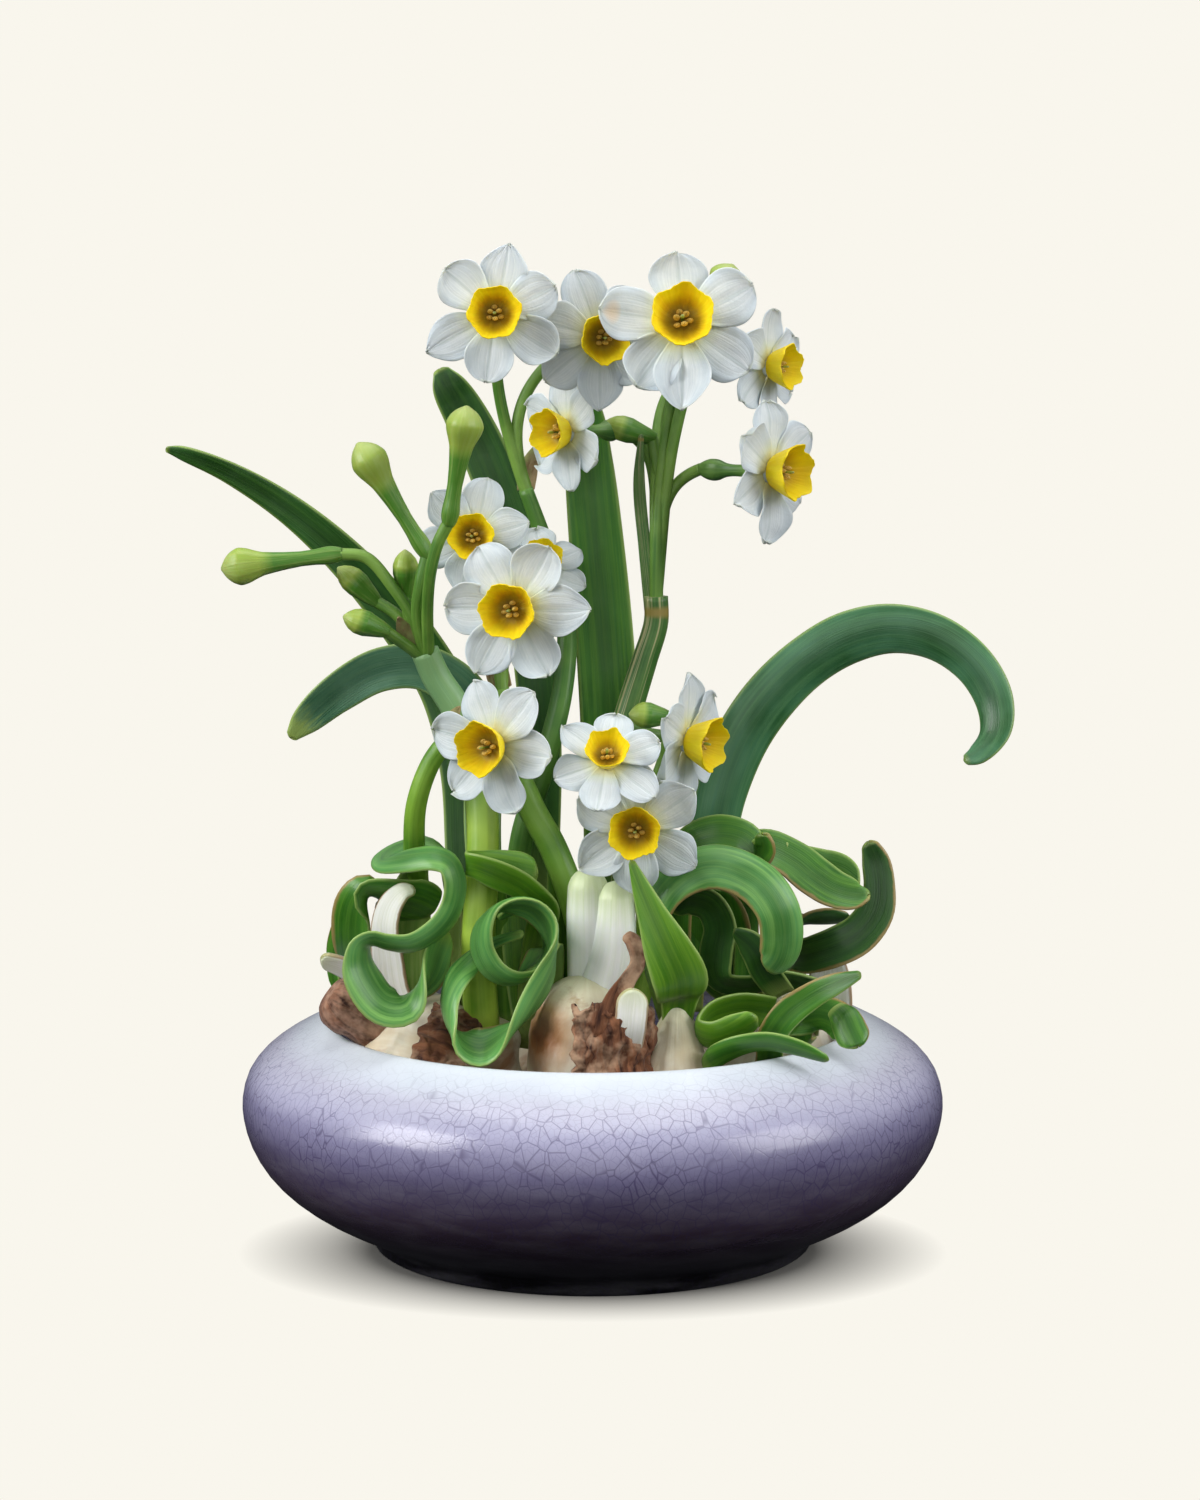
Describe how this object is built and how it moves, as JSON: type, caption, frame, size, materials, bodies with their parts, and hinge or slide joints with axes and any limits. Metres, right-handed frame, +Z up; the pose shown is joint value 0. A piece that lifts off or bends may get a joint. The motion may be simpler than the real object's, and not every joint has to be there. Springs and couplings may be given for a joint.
{
  "type": "potted narcissus",
  "caption": "Flowering water narcissus with carved, curling leaves, growing from bulbs in a shallow round glazed bowl of water.",
  "frame": {"origin": "centre of the bowl's flat foot, on the table", "axes": "+Z up along the bowl's axis; -Y towards the front of the plant as pictured; +X to the viewer's right"},
  "size_m": [0.2271, 0.19, 0.2694],
  "materials": {
    "glaze": "glossy crackle glaze, lavender at the shoulder, pale at the lip, dark purple to black at the foot",
    "water": "clear still water",
    "bulb_scale": "cream fleshy bulb scales, satin",
    "bulb_skin": "brown papery bulb skin, matte",
    "shoot": "white fleshy shoot with green tip, satin",
    "leaf": "waxy blue-green leaf with fine long stripes, satin",
    "stem": "fleshy light green flower stem, satin",
    "petal": "white petal with fine ribs, soft matte",
    "corona": "yellow-orange frilled cup with darker throat, soft matte"
  },
  "bodies": {
    "root": {"bowl": "glaze", "bulb_left": "bulb_scale", "bulb_middle": "bulb_scale", "bulb_right": "bulb_scale", "bulb_back": "bulb_scale", "water": "water", "leaf_long": "leaf", "leaf_droop": "leaf", "leaf_upright_left": "leaf", "leaf_upright": "leaf", "leaf_arch": "leaf", "leaf_twist": "leaf", "curl_outer": "leaf", "curl_ring": "leaf", "curl_loop": "leaf", "curl_tongue": "leaf", "curl_big": "leaf", "curl_inner": "leaf", "curl_top": "leaf", "curl_fold": "leaf", "curl_hook": "leaf", "curl_lobe": "leaf", "curl_blade": "leaf", "curl_cut": "leaf", "curl_rim": "leaf", "shoots": "shoot", "skin_left": "bulb_skin", "skin_middle": "bulb_skin", "petals_01": "petal", "corona_01": "corona", "petals_02": "petal", "corona_02": "corona", "petals_03": "petal", "corona_03": "corona", "petals_04": "petal", "corona_04": "corona", "petals_05": "petal", "corona_05": "corona", "petals_06": "petal", "corona_06": "corona", "petals_07": "petal", "corona_07": "corona", "petals_08": "petal", "corona_08": "corona", "petals_09": "petal", "corona_09": "corona", "petals_10": "petal", "corona_10": "corona", "petals_11": "petal", "corona_11": "corona", "petals_12": "petal", "corona_12": "corona", "petals_13": "petal", "corona_13": "corona", "stem_left": "stem", "stem_thin": "stem", "stem_centre": "stem", "stem_back": "stem", "stem_tall": "stem", "stem_low": "stem"}
  },
  "joints": []
}
